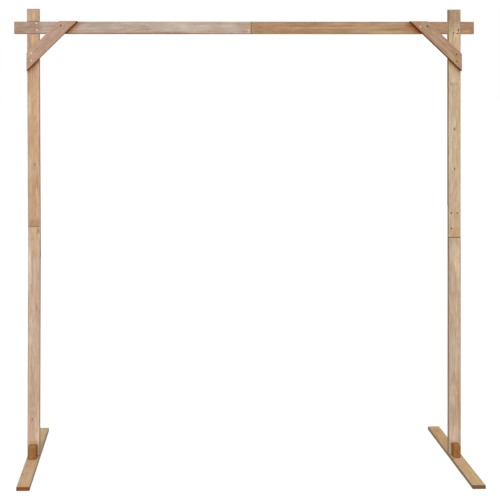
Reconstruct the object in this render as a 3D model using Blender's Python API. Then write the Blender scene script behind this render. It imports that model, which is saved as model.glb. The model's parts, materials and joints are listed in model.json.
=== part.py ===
"""Wooden wedding arch: an open frame of planed softwood boards.

Two posts stand on two cross feet and carry one beam, with a diagonal brace in
each corner. Every post and the beam are two boards spliced end to end. Seen
from the front, +X is to the right, -Y is towards the viewer and +Z is up. The
origin is on the floor, at the middle of the arch.
"""

import math

import bmesh
import bpy
from mathutils import Matrix, Vector

# All sizes are in metres.

# Board stock, and the clearance left between pieces that touch.
BOARD_WIDTH = 0.0645
BOARD_THICKNESS = 0.019
EASED_EDGE = 0.002
GAP = 0.0003

# Posts. Each board's middle line is given where it meets the joint, with how
# far it leans to the right for each metre that it rises.
POST_X = 1.096
LEFT_LOWER_AT_JOINT = -1.0937
LEFT_LOWER_LEAN = 0.0028
LEFT_UPPER_AT_JOINT = -1.0942
LEFT_UPPER_LEAN = -0.0047
RIGHT_LOWER_AT_JOINT = 1.0975
RIGHT_UPPER_AT_JOINT = 1.0962
LEFT_POST_TOP = 2.3415
RIGHT_POST_TOP = 2.339
LEFT_POST_JOINT = 1.2113
RIGHT_POST_JOINT = 1.1505
POST_LAP = 0.165

# Beam.
BEAM_TOP = 2.2755
BEAM_BOTTOM = BEAM_TOP - BOARD_WIDTH
BEAM_END_X = 1.1975
BEAM_JOINT = 0.0354
BEAM_LAP = 0.076

# Cross feet, which lie flat and run from front to back.
FOOT_LENGTH = 0.610
LEFT_FOOT_X = -1.097
RIGHT_FOOT_X = 1.0996

# Short rounded blocks on the feet, each against the front of its post.
BLOCK_HEIGHT = 0.064
BLOCK_DEPTH = 0.038
BLOCK_ROUNDING = 0.009
LEFT_BLOCK_X = -1.0978
LEFT_BLOCK_WIDTH = 0.044
RIGHT_BLOCK_X = 1.0952
RIGHT_BLOCK_WIDTH = 0.036

# Braces, on the front of posts and beam. Their ends are cut upright at the
# post's outer edge and level at the top of the beam.
LEFT_BRACE_OUTER_X = 1.130
LEFT_BRACE_TOP = 2.277
LEFT_BRACE_REACH = 0.262
LEFT_BRACE_DROP = 0.2586
LEFT_BRACE_WIDTH = 0.0665
RIGHT_BRACE_OUTER_X = 1.127
RIGHT_BRACE_TOP = 2.2765
RIGHT_BRACE_REACH = 0.2695
RIGHT_BRACE_DROP = 0.2582
RIGHT_BRACE_WIDTH = 0.0645

# Countersunk wood screws.
SCREW_HEAD_RADIUS = 0.0039
SCREW_RIM = 0.0005
SCREW_HEAD_DEPTH = 0.0034
SCREW_SHANK_RADIUS = 0.0019
SCREW_POINT = 0.005
SCREW_SINK = 0.0003
SCREW_SIDES = 10
LAP_SCREW_LENGTH = 0.016
BRACE_SCREW_LENGTH = 0.030
FOOT_SCREW_LENGTH = 0.045
FOOT_SCREW_SINK = 0.001

HALF_WIDTH = BOARD_WIDTH / 2
HALF_THICKNESS = BOARD_THICKNESS / 2
FRONT = -HALF_THICKNESS
BACK = HALF_THICKNESS
BRACE_FRONT = FRONT - GAP - BOARD_THICKNESS
CUT_MARGIN = 0.002

INTO_BACK = Vector((0, 1, 0))
INTO_FRONT = Vector((0, -1, 0))
UPWARDS = Vector((0, 0, 1))


def clear_scene():
    for old in list(bpy.data.objects):
        bpy.data.objects.remove(old, do_unlink=True)
    for old in list(bpy.data.collections):
        bpy.data.collections.remove(old)


def make_material(name, colour, roughness, metallic=0.0):
    material = bpy.data.materials.new(name)
    material.use_nodes = True
    shader = material.node_tree.nodes["Principled BSDF"]
    shader.inputs["Base Color"].default_value = (*colour, 1.0)
    shader.inputs["Roughness"].default_value = roughness
    shader.inputs["Metallic"].default_value = metallic
    return material


def add_object(name, mesh, parent, material=None):
    piece = bpy.data.objects.new(name, mesh)
    bpy.context.scene.collection.objects.link(piece)
    piece.parent = parent
    if material:
        mesh.materials.append(material)
    return piece


def finish_mesh(shape, name):
    bmesh.ops.recalc_face_normals(shape, faces=shape.faces)
    mesh = bpy.data.meshes.new(name)
    shape.to_mesh(mesh)
    shape.free()
    return mesh


def ease_edges(shape, is_long, radius=EASED_EDGE):
    """Round over the edges whose direction is_long accepts."""
    edges = []
    for edge in shape.edges:
        direction = (edge.verts[1].co - edge.verts[0].co).normalized()
        if is_long(direction):
            edges.append(edge)
    bmesh.ops.bevel(
        shape, geom=edges, offset=radius, segments=2,
        profile=0.5, affect="EDGES",
    )


def add_board(name, low, high, material, parent):
    """A planed board that fills the box from low to high."""
    low, high = Vector(low), Vector(high)
    size = high - low
    shape = bmesh.new()
    bmesh.ops.create_cube(shape, size=1.0)
    bmesh.ops.scale(shape, vec=size, verts=shape.verts)
    long_axis = max(range(3), key=lambda axis: size[axis])
    ease_edges(shape, lambda direction: abs(direction[long_axis]) > 0.99)
    board = add_object(name, finish_mesh(shape, name), parent, material)
    board.location = (low + high) / 2
    return board


def add_post_board(name, at_joint, joint, lean, low_z, high_z, material, parent):
    """An upright board whose middle line passes at_joint at the joint's height."""
    middle_x = at_joint + lean * ((low_z + high_z) / 2 - joint)
    board = add_board(
        name,
        (middle_x - HALF_WIDTH, FRONT, low_z), (middle_x + HALF_WIDTH, BACK, high_z),
        material, parent,
    )
    board.rotation_euler.y = math.atan(lean)
    return board


def add_block(name, low, high, material, parent):
    """A short block with every edge rounded over."""
    low, high = Vector(low), Vector(high)
    shape = bmesh.new()
    bmesh.ops.create_cube(shape, size=1.0)
    bmesh.ops.scale(shape, vec=high - low, verts=shape.verts)
    ease_edges(shape, lambda direction: True, BLOCK_ROUNDING)
    block = add_object(name, finish_mesh(shape, name), parent, material)
    block.location = (low + high) / 2
    return block


def add_brace(name, side, outer_x, top, reach, drop, width, material, parent):
    """A diagonal board with one upright and one level end cut.

    reach is how far its long edge runs along the beam and drop how far it
    runs down the post, both from the outer top corner.
    """
    slope = drop / reach
    rise = width * math.hypot(1, slope)
    outline = [
        (outer_x, top - drop),
        (outer_x - reach, top),
        (outer_x - reach + rise / slope, top),
        (outer_x, top - drop + rise),
    ]
    shape = bmesh.new()
    front = [shape.verts.new((side * x, BRACE_FRONT, z)) for x, z in outline]
    face = shape.faces.new(front)
    extruded = bmesh.ops.extrude_face_region(shape, geom=[face])
    moved = [item for item in extruded["geom"] if isinstance(item, bmesh.types.BMVert)]
    bmesh.ops.translate(shape, verts=moved, vec=(0, BOARD_THICKNESS, 0))
    ease_edges(shape, lambda direction: abs(direction.x * direction.z) > 0.1)
    centre = Vector((side * (outer_x - reach / 2), BRACE_FRONT, top - drop / 2))
    bmesh.ops.translate(shape, verts=shape.verts, vec=-centre)
    brace = add_object(name, finish_mesh(shape, name), parent, material)
    brace.location = centre
    return brace


def turn_profile(name, profile):
    """A closed solid turned about Z from (radius, height) pairs, top to bottom."""
    shape = bmesh.new()
    points = [shape.verts.new((radius, 0, height)) for radius, height in profile]
    edges = [shape.edges.new(pair) for pair in zip(points, points[1:])]
    bmesh.ops.spin(
        shape, geom=points + edges, cent=(0, 0, 0), axis=(0, 0, 1),
        angle=2 * math.pi, steps=SCREW_SIDES, use_merge=True,
    )
    bmesh.ops.remove_doubles(shape, verts=shape.verts, dist=0.00001)
    return finish_mesh(shape, name)


def pointing(direction):
    """Turn a screw, which is modelled pointing down, along direction."""
    return direction.to_track_quat("-Z", "Y").to_matrix().to_4x4()


def hide_cutter(cutter):
    cutter.hide_render = True
    cutter.display_type = "WIRE"


def cut(board, cutter):
    modifier = board.modifiers.new(cutter.name, "BOOLEAN")
    modifier.operation = "DIFFERENCE"
    modifier.solver = "EXACT"
    modifier.object = cutter


def drill(board, hole):
    """Add a hole to the group that is drilled through a board in one cut."""
    group_name = f"holes_in_{board.name}"
    group = bpy.data.collections.get(group_name)
    if group is None:
        group = bpy.data.collections.new(group_name)
        bpy.context.scene.collection.children.link(group)
        modifier = board.modifiers.new(group_name, "BOOLEAN")
        modifier.operation = "DIFFERENCE"
        modifier.solver = "EXACT"
        modifier.operand_type = "COLLECTION"
        modifier.collection = group
    group.objects.link(hole)


def add_cutter_box(name, low, high, parent):
    low, high = Vector(low), Vector(high)
    shape = bmesh.new()
    bmesh.ops.create_cube(shape, size=1.0)
    bmesh.ops.scale(shape, vec=high - low, verts=shape.verts)
    cutter = add_object(name, finish_mesh(shape, name), parent)
    cutter.location = (low + high) / 2
    hide_cutter(cutter)
    return cutter


def halve_front(board, low_x, high_x, low_z, high_z, parent):
    """Take the front half of the thickness off a board within a rectangle."""
    low = (low_x, FRONT - CUT_MARGIN, low_z)
    high = (high_x, GAP / 2, high_z)
    cut(board, add_cutter_box(f"cut_front_{board.name}_{len(board.modifiers)}", low, high, parent))


def halve_back(board, low_x, high_x, low_z, high_z, parent):
    """Take the back half of the thickness off a board within a rectangle."""
    low = (low_x, -GAP / 2, low_z)
    high = (high_x, BACK + CUT_MARGIN, high_z)
    cut(board, add_cutter_box(f"cut_back_{board.name}_{len(board.modifiers)}", low, high, parent))


def screw_profile(length, margin):
    """Head, shank and point. With a margin it is the hole for that screw."""
    mouth = CUT_MARGIN if margin else 0.0
    profile = [
        (0.0, mouth),
        (SCREW_HEAD_RADIUS + margin, mouth),
        (SCREW_HEAD_RADIUS + margin, -SCREW_RIM),
        (SCREW_SHANK_RADIUS + margin, -SCREW_HEAD_DEPTH - margin),
    ]
    if margin:
        profile.append((SCREW_SHANK_RADIUS + margin, -length - margin))
    else:
        profile.append((SCREW_SHANK_RADIUS, -length + SCREW_POINT))
    profile.append((0.0, -length - margin))
    return profile


def add_screw(name, head, direction, length, boards, material, parent, sink=SCREW_SINK):
    """A countersunk screw with its head at a face, and its hole in each board."""
    matrix = Matrix.Translation(Vector(head) + direction * sink) @ pointing(direction)
    screw = add_object(name, turn_profile(name, screw_profile(length, 0.0)), parent, material)
    screw.matrix_world = matrix
    hole_name = f"hole_{name}"
    hole = add_object(hole_name, turn_profile(hole_name, screw_profile(length, GAP)), parent)
    hole.matrix_world = matrix
    hide_cutter(hole)
    for board in boards:
        drill(board, hole)
    return screw


def build_feet(woods, parent):
    """Both cross feet and the block that stands on each."""
    pieces = {}
    for side, foot_x, block_x, block_width in (
        ("left", LEFT_FOOT_X, LEFT_BLOCK_X, LEFT_BLOCK_WIDTH),
        ("right", RIGHT_FOOT_X, RIGHT_BLOCK_X, RIGHT_BLOCK_WIDTH),
    ):
        pieces[f"{side}_foot"] = add_board(
            f"{side}_foot",
            (foot_x - HALF_WIDTH, -FOOT_LENGTH / 2, 0),
            (foot_x + HALF_WIDTH, FOOT_LENGTH / 2, BOARD_THICKNESS),
            woods[f"{side}_foot"], parent,
        )
        block_back = FRONT - GAP
        block_bottom = BOARD_THICKNESS + GAP
        pieces[f"{side}_foot_block"] = add_block(
            f"{side}_foot_block",
            (block_x - block_width / 2, block_back - BLOCK_DEPTH, block_bottom),
            (block_x + block_width / 2, block_back, block_bottom + BLOCK_HEIGHT),
            woods["block"], parent,
        )
    return pieces


def build_posts(woods, parent):
    """Each post is two boards, joined by a half-lap on the flat."""
    pieces = {}
    for side, centre, joint, top, lower_place, upper_place in (
        ("left", -POST_X, LEFT_POST_JOINT, LEFT_POST_TOP,
         (LEFT_LOWER_AT_JOINT, LEFT_POST_JOINT, LEFT_LOWER_LEAN),
         (LEFT_UPPER_AT_JOINT, LEFT_POST_JOINT, LEFT_UPPER_LEAN)),
        ("right", POST_X, RIGHT_POST_JOINT, RIGHT_POST_TOP,
         (RIGHT_LOWER_AT_JOINT, RIGHT_POST_JOINT, 0.0),
         (RIGHT_UPPER_AT_JOINT, RIGHT_POST_JOINT, 0.0)),
    ):
        # The joint is the line that shows in front. On the left the lower
        # board's tongue is in front and ends there, and on the right the
        # upper board's tongue is.
        if side == "left":
            lap_low, lap_high = joint - POST_LAP, joint
        else:
            lap_low, lap_high = joint, joint + POST_LAP
        cut_x = (centre - BOARD_WIDTH, centre + BOARD_WIDTH)
        lower = add_post_board(
            f"{side}_post_lower", *lower_place,
            BOARD_THICKNESS + GAP, lap_high - GAP / 2,
            woods[f"{side}_post_lower"], parent,
        )
        upper = add_post_board(
            f"{side}_post_upper", *upper_place,
            lap_low + GAP / 2, top,
            woods[f"{side}_post_upper"], parent,
        )
        above_lap = lap_high + CUT_MARGIN
        below_lap = lap_low - CUT_MARGIN
        if side == "left":
            halve_back(lower, *cut_x, lap_low - GAP / 2, above_lap, parent)
            halve_front(upper, *cut_x, below_lap, lap_high + GAP / 2, parent)
        else:
            halve_front(lower, *cut_x, lap_low - GAP / 2, above_lap, parent)
            halve_back(upper, *cut_x, below_lap, lap_high + GAP / 2, parent)
        pieces[f"{side}_post_lower"] = lower
        pieces[f"{side}_post_upper"] = upper
    return pieces


def build_beam(woods, parent):
    """Two boards end to end. The left one's tongue is in front."""
    lap_left, lap_right = BEAM_JOINT - BEAM_LAP, BEAM_JOINT
    left = add_board(
        "beam_left",
        (-BEAM_END_X, FRONT, BEAM_BOTTOM), (lap_right - GAP / 2, BACK, BEAM_TOP),
        woods["beam_left"], parent,
    )
    right = add_board(
        "beam_right",
        (lap_left + GAP / 2, FRONT, BEAM_BOTTOM), (BEAM_END_X, BACK, BEAM_TOP),
        woods["beam_right"], parent,
    )
    cut_z = (BEAM_BOTTOM - CUT_MARGIN, BEAM_TOP + CUT_MARGIN)
    halve_back(left, lap_left - GAP / 2, lap_right + CUT_MARGIN, *cut_z, parent)
    halve_front(right, lap_left - CUT_MARGIN, lap_right + GAP / 2, *cut_z, parent)
    return {"beam_left": left, "beam_right": right}


def cross_lap(front_board, back_board, front_is_beam, centre, lean, parent):
    """Halve a post and the beam where they cross, so that their faces are flush."""
    reach = HALF_WIDTH * (1 + abs(lean)) + GAP
    post_x = (centre - reach, centre + reach)
    beam_z = (BEAM_BOTTOM - GAP, BEAM_TOP + GAP)
    past_post_x = (post_x[0] - CUT_MARGIN, post_x[1] + CUT_MARGIN)
    past_beam_z = (beam_z[0] - CUT_MARGIN, beam_z[1] + CUT_MARGIN)
    if front_is_beam:
        halve_back(front_board, *post_x, *past_beam_z, parent)
        halve_front(back_board, *past_post_x, *beam_z, parent)
    else:
        halve_back(front_board, *past_post_x, *beam_z, parent)
        halve_front(back_board, *post_x, *past_beam_z, parent)


def build_braces(woods, parent):
    return {
        "left_brace": add_brace(
            "left_brace", -1, LEFT_BRACE_OUTER_X, LEFT_BRACE_TOP,
            LEFT_BRACE_REACH, LEFT_BRACE_DROP, LEFT_BRACE_WIDTH,
            woods["left_brace"], parent,
        ),
        "right_brace": add_brace(
            "right_brace", 1, RIGHT_BRACE_OUTER_X, RIGHT_BRACE_TOP,
            RIGHT_BRACE_REACH, RIGHT_BRACE_DROP, RIGHT_BRACE_WIDTH,
            woods["right_brace"], parent,
        ),
    }


def add_screw_group(name, places, face_y, direction, length, boards, materials, parent):
    """Screws at (x, z) places on a face. materials holds one for each, or one for all."""
    for number, (x, z) in enumerate(places, start=1):
        material = materials[(number - 1) % len(materials)]
        add_screw(
            f"{name}_{number}", (x, face_y, z), direction, length,
            boards, material, parent,
        )


def build_screws(pieces, bright, dark, parent):
    """Four screws in every lap, two in each end of a brace, two under each post."""
    beam_middle = (BEAM_BOTTOM + BEAM_TOP) / 2

    # Crossings of posts and beam.
    left_places = [(-POST_X + dx, beam_middle + dz)
                   for dx, dz in ((0.014, 0.0225), (0.017, -0.0135), (-0.0225, 0.0225), (-0.0225, -0.0135))]
    add_screw_group(
        "left_crossing_screw", left_places, FRONT, INTO_BACK, LAP_SCREW_LENGTH,
        [pieces["left_post_upper"], pieces["beam_left"]], [bright], parent,
    )
    right_places = [(POST_X + dx, beam_middle + dz)
                    for dx, dz in ((-0.0055, -0.027), (0.020, -0.013), (-0.017, 0.020), (0.015, 0.021))]
    add_screw_group(
        "right_crossing_screw", right_places, FRONT, INTO_BACK, LAP_SCREW_LENGTH,
        [pieces["right_post_upper"], pieces["beam_right"]], [dark], parent,
    )

    # Splice in the beam.
    lap_middle = BEAM_JOINT - BEAM_LAP / 2
    splice_places = [(lap_middle + dx, beam_middle + dz)
                     for dx, dz in ((0.0229, -0.014), (-0.0177, 0.0185), (-0.0177, -0.014), (0.0229, 0.0185))]
    add_screw_group(
        "beam_splice_screw", splice_places, FRONT, INTO_BACK, LAP_SCREW_LENGTH,
        [pieces["beam_left"], pieces["beam_right"]], [bright], parent,
    )

    # Splices in the posts. On the left post they are driven from behind.
    from_joint = (0.0467, 0.1267)
    for side, centre, joint, sign, face_y, direction, material in (
        ("left", -POST_X, LEFT_POST_JOINT, -1, BACK, INTO_FRONT, bright),
        ("right", POST_X, RIGHT_POST_JOINT, 1, FRONT, INTO_BACK, dark),
    ):
        places = [(centre + dx, joint + sign * dz) for dz in from_joint for dx in (-0.017, 0.0148)]
        boards = [pieces[f"{side}_post_lower"], pieces[f"{side}_post_upper"]]
        add_screw_group(
            f"{side}_post_splice_screw", places, face_y, direction,
            LAP_SCREW_LENGTH, boards, [material], parent,
        )

    # Braces: the first two into the post, the last two into the beam.
    brace_places = {
        "left": ((-1.1049, 2.1096), (-1.1042, 2.0719), (-0.9534, 2.2533), (-0.9291, 2.2579)),
        "right": ((1.0992, 2.1044), (1.1013, 2.0686), (0.9468, 2.2502), (0.9114, 2.2476)),
    }
    brace_metals = {"left": (bright, bright, dark, bright), "right": (dark, dark, dark, bright)}
    for side, places in brace_places.items():
        for number, (x, z) in enumerate(places, start=1):
            behind = f"{side}_post_upper" if number <= 2 else f"beam_{side}"
            add_screw(
                f"{side}_brace_screw_{number}", (x, BRACE_FRONT, z), INTO_BACK,
                BRACE_SCREW_LENGTH, [pieces[f"{side}_brace"], pieces[behind]],
                brace_metals[side][number - 1], parent,
            )

    # Under each foot: one up into the post, one up into the block.
    block_y = FRONT - GAP - BLOCK_DEPTH / 2
    for side, post_x, block_x in (("left", -POST_X, LEFT_BLOCK_X), ("right", POST_X, RIGHT_BLOCK_X)):
        foot = pieces[f"{side}_foot"]
        add_screw(
            f"{side}_foot_screw_1", (post_x, 0, 0), UPWARDS, FOOT_SCREW_LENGTH,
            [foot, pieces[f"{side}_post_lower"]], dark, parent, FOOT_SCREW_SINK,
        )
        add_screw(
            f"{side}_foot_screw_2", (block_x, block_y, 0), UPWARDS, FOOT_SCREW_LENGTH,
            [foot, pieces[f"{side}_foot_block"]], dark, parent, FOOT_SCREW_SINK,
        )


def build_arch():
    clear_scene()
    arch = bpy.data.objects.new("wedding_arch", None)
    bpy.context.scene.collection.objects.link(arch)

    woods = {
        "left_post_upper": make_material("left_post_upper_pine", (0.59, 0.39, 0.24), 0.72),
        "left_post_lower": make_material("left_post_lower_pine", (0.60, 0.43, 0.31), 0.72),
        "right_post_upper": make_material("right_post_upper_pine", (0.58, 0.44, 0.30), 0.72),
        "right_post_lower": make_material("right_post_lower_pine", (0.54, 0.39, 0.28), 0.72),
        "left_foot": make_material("left_foot_pine", (0.54, 0.38, 0.24), 0.75),
        "right_foot": make_material("right_foot_pine", (0.54, 0.38, 0.24), 0.75),
        "beam_left": make_material("beam_left_grey_pine", (0.52, 0.40, 0.33), 0.75),
        "beam_right": make_material("beam_right_tan_pine", (0.45, 0.27, 0.16), 0.70),
        "left_brace": make_material("left_brace_pine", (0.49, 0.31, 0.21), 0.72),
        "right_brace": make_material("right_brace_pine", (0.48, 0.31, 0.20), 0.72),
        "block": make_material("stained_block_pine", (0.30, 0.13, 0.035), 0.65),
    }
    bright = make_material("bright_zinc_screw", (0.83, 0.72, 0.58), 0.35, 1.0)
    dark = make_material("dark_screw", (0.13, 0.065, 0.03), 0.55, 0.6)

    pieces = {}
    pieces.update(build_feet(woods, arch))
    pieces.update(build_posts(woods, arch))
    pieces.update(build_beam(woods, arch))
    pieces.update(build_braces(woods, arch))

    beam_height = (BEAM_BOTTOM + BEAM_TOP) / 2
    left_centre = LEFT_UPPER_AT_JOINT + LEFT_UPPER_LEAN * (beam_height - LEFT_POST_JOINT)
    cross_lap(
        pieces["beam_left"], pieces["left_post_upper"], True,
        left_centre, LEFT_UPPER_LEAN, arch,
    )
    cross_lap(
        pieces["right_post_upper"], pieces["beam_right"], False,
        RIGHT_UPPER_AT_JOINT, 0.0, arch,
    )
    build_screws(pieces, bright, dark, arch)


build_arch()
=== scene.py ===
"""Looks for the wooden wedding arch: planed pine boards, wood screws, floor, light and camera."""

import json
import random
from math import cos, exp, hypot, pi, radians, sin

import bmesh
import bpy
from mathutils import Matrix, Vector, noise


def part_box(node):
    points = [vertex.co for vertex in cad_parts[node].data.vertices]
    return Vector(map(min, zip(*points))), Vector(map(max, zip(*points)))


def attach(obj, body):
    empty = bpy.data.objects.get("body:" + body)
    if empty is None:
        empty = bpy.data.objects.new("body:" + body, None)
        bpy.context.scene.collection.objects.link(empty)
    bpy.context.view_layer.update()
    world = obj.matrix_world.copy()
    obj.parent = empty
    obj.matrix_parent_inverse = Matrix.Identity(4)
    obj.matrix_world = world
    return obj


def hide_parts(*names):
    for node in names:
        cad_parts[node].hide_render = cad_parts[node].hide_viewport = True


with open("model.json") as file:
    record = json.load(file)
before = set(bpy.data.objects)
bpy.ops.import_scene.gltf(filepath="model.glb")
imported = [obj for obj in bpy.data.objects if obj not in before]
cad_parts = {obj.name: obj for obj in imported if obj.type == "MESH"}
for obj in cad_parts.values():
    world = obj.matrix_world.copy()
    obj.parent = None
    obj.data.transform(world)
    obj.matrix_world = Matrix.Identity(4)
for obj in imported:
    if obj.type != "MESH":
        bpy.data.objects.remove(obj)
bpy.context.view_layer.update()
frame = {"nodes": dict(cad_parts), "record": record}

# Sizes are in metres where no other unit is named. Seen from the front, +X is to the right and
# -Y comes towards the viewer.

GAP = 0.0003
EDGE_RADIUS = 0.002
END_RADIUS = 0.0008
BLOCK_RADIUS = 0.006
MARGIN = 0.002
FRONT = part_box("beam_left")[0].y
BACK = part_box("beam_left")[1].y
BOARD_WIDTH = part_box("beam_left")[1].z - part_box("beam_left")[0].z
LEFT_BRACE_WIDTH = 0.0665
RIGHT_BRACE_WIDTH = 0.0645

SLOTS = {row["node"]: row["material_slot"] for row in frame["record"]["subparts"]}

# How far each of these boards leans to the right for each metre that it rises.
LEANS = {"left_post_lower": 0.0028, "left_post_upper": -0.0047}

RING_STEP = 0.0045
FACE_STEP = 0.0045
CORNER_STEPS = 4

SLOW_WEAR = 0.0001
QUICK_WEAR = 0.00005
KNOT_WEAR = 0.00022
END_WEAR = 0.00012
WOOD_SHARP_ANGLE = radians(38)

UP = Vector((0, 0, 1))
RIGHT = Vector((1, 0, 0))
INTO_BACK = Vector((0, 1, 0))
FORWARD = Vector((0, -1, 0))


def frame_matrix(origin, along, facing):
    """Where a board's own axes lie: x along it, z out of its show face, y across it."""
    across = facing.cross(along)
    matrix = Matrix((along, across, facing)).transposed().to_4x4()
    matrix.translation = origin
    return matrix


def closed_mesh(name, verts, faces):
    """A closed mesh whose faces all look outwards."""
    mesh = bpy.data.meshes.new(name)
    mesh.from_pydata([tuple(vert) for vert in verts], [], faces)
    shape = bmesh.new()
    shape.from_mesh(mesh)
    bmesh.ops.recalc_face_normals(shape, faces=shape.faces)
    shape.to_mesh(mesh)
    shape.free()
    return mesh


def ring_faces(first, second, count):
    """Faces between two rings of points, each given by its first point."""
    steps = [(step, (step + 1) % count) for step in range(count)]
    return [(first + a, first + b, second + b, second + a) for a, b in steps]


def fan_faces(first, tip, count):
    """Faces from a ring of points to one point."""
    return [(first + step, first + (step + 1) % count, tip) for step in range(count)]


def section(width, thickness, radii):
    """Points and outward normals round a board's section, with its own radius at each corner."""
    def corner_centre(number):
        side_y, side_z = ((1, 1), (-1, 1), (-1, -1), (1, -1))[number]
        inset = radii[number]
        return Vector((side_y * (width / 2 - inset), side_z * (thickness / 2 - inset)))

    points, normals = [], []
    for number in range(4):
        centre = corner_centre(number)
        for step in range(CORNER_STEPS + 1):
            angle = pi / 2 * (number + step / CORNER_STEPS)
            normal = Vector((cos(angle), sin(angle)))
            points.append(centre + normal * radii[number])
            normals.append(normal)
        following = (number + 1) % 4
        target = corner_centre(following) + normals[-1] * radii[following]
        steps = max(2, round((width if number % 2 == 0 else thickness) / FACE_STEP))
        start = points[-1]
        for step in range(1, steps):
            points.append(start.lerp(target, step / steps))
            normals.append(normals[-1].copy())
    return points, normals


def worn_depth(point, seed, knots):
    """How far the surface lies inside the planed board at a point."""
    x, y, z = point
    slow = noise.noise(Vector((x * 6 + seed, y * 28, z * 28)))
    quick = noise.noise(Vector((x * 45, y * 190 + seed, z * 190)))
    depth = SLOW_WEAR * (1 + slow) + QUICK_WEAR * (1 + quick)
    for knot_x, knot_y, size in knots:
        distance = hypot((x - knot_x) / 1.4, y - knot_y) / size
        depth += KNOT_WEAR * exp(-((distance - 1.0) / 0.35) ** 2)
    return depth


def end_steps(radius):
    """Distance from the end and how far the skin lies inside there, round a rounded end."""
    count = max(2, round(radius / 0.001))
    angles = [pi / 2 * step / count for step in range(count + 1)]
    return [(radius * (1 - cos(a)), 0.95 * radius * (1 - sin(a))) for a in angles]


def board_mesh(name, length, width, thickness, seed, knots, edge_radius, end_radius):
    """A planed board from x = 0 to length, worn a little everywhere and dented along its edges."""
    chance = random.Random(seed)
    ends = end_steps(end_radius)
    straight = length - 2 * end_radius
    count = max(2, round(straight / RING_STEP))
    stations = list(ends)
    stations += [(end_radius + straight * step / count, 0.0) for step in range(1, count)]
    stations += [(length - place, inset) for place, inset in reversed(ends)]
    dents = []
    for corner in range(4):
        for _ in range(1 + round(length * 3)):
            place, reach = chance.uniform(0, length), chance.uniform(0.002, 0.007)
            dents.append((corner, place, reach, chance.uniform(0.0002, 0.0011)))

    verts, faces = [], []
    for station, inset in stations:
        radii = []
        for corner in range(4):
            drift = noise.noise(Vector((station * 9, corner * 7.3, seed)))
            radius = edge_radius * (1.05 + 0.35 * drift)
            for dent_corner, place, reach, size in dents:
                if dent_corner == corner:
                    radius += size * exp(-((station - place) / reach) ** 2)
            radii.append(max(radius, 1.1 * inset))
        points, normals = section(width, thickness, radii)
        for point, normal in zip(points, normals):
            depth = inset + worn_depth((station, point.x, point.y), seed, knots)
            place = point - normal * depth
            verts.append((station, place.x, place.y))
    around = len(verts) // len(stations)
    last = (len(stations) - 1) * around
    for ring in range(0, last, around):
        faces += ring_faces(ring, ring + around, around)

    for first, x, inward in ((0, 0.0, 1), (last, length, -1)):
        outer = first
        for scale in (0.66, 0.33):
            inner = len(verts)
            for index in range(first, first + around):
                _, y, z = verts[index]
                rough = END_WEAR * (1 + noise.noise(Vector((y * 300, z * 300, seed + scale))))
                verts.append((x + inward * rough, y * scale, z * scale))
            faces += ring_faces(outer, inner, around)
            outer = inner
        verts.append((x + inward * 0.0001, 0, 0))
        faces += fan_faces(outer, len(verts) - 1, around)
    return closed_mesh(name, verts, faces)


def new_object(name, mesh, matrix=None):
    made = bpy.data.objects.new(name, mesh)
    bpy.context.scene.collection.objects.link(made)
    if matrix is not None:
        made.matrix_world = matrix
    return made


def solid(name, verts, faces):
    """A cutter from corner points in the object's frame."""
    return new_object(name, closed_mesh(name, verts, faces))


def box_cutter(low, high):
    xs, ys, zs = zip(low, high)
    verts = [(x, y, z) for x in xs for y in ys for z in zs]
    faces = [(0, 1, 3, 2), (4, 6, 7, 5), (0, 4, 5, 1), (2, 3, 7, 6), (0, 2, 6, 4), (1, 5, 7, 3)]
    return solid("cutter_box", verts, faces)


def groove_cutter(start, end, out, width, depth):
    """A V-shaped groove from start to end on a face whose outward normal is out."""
    along = (end - start).normalized()
    across = out.cross(along)
    verts = []
    for place in (start, end):
        verts += [place + side * across * width + out * depth for side in (1, -1)]
        verts.append(place - out * depth)
    faces = [(0, 1, 2), (3, 5, 4), (0, 3, 4, 1), (1, 4, 5, 2), (2, 5, 3, 0)]
    return solid("cutter_groove", verts, faces)


def crack_cutter(start, end, out, width, depth, seed):
    """A narrow crack that wanders a little on its way from start to end."""
    chance = random.Random(seed)
    along = end - start
    across = out.cross(along.normalized())
    steps = 7
    verts, faces = [], []
    for step in range(steps + 1):
        part = step / steps
        swell = max(0.12, sin(pi * min(0.95, part + 0.05)))
        place = start + along * part + across * chance.uniform(-0.5, 0.5) * width * 1.5
        reach = across * width * swell / 2
        verts += [place + reach + out * 0.001, place - reach + out * 0.001]
        verts.append(place - out * depth * swell)
    for step in range(steps):
        a = step * 3
        faces += [(a + i, a + i + 3, a + j + 3, a + j) for i, j in ((0, 1), (1, 2), (2, 0))]
    last = steps * 3
    faces += [(0, 1, 2), (last, last + 2, last + 1)]
    return solid("cutter_crack", verts, faces)


def carve(piece, cutters):
    """Take the cutters out of the piece and delete them, each with its mesh."""
    group = bpy.data.collections.new("cutters")
    bpy.context.scene.collection.children.link(group)
    for cutter in cutters:
        group.objects.link(cutter)
    modifier = piece.modifiers.new("carve", "BOOLEAN")
    modifier.operation = "DIFFERENCE"
    modifier.solver = "EXACT"
    modifier.operand_type = "COLLECTION"
    modifier.collection = group
    bpy.context.view_layer.update()
    seen = piece.evaluated_get(bpy.context.evaluated_depsgraph_get())
    carved = bpy.data.meshes.new_from_object(seen)
    if not carved.polygons:
        raise RuntimeError(f"nothing is left of {piece.name}")
    piece.modifiers.clear()
    old, piece.data = piece.data, carved
    carved.name = piece.name
    bpy.data.meshes.remove(old)
    for cutter in cutters:
        bpy.data.meshes.remove(cutter.data)
    bpy.data.collections.remove(group)
    piece.data.shade_smooth()
    piece.data.set_sharp_from_angle(angle=WOOD_SHARP_ANGLE)


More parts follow.
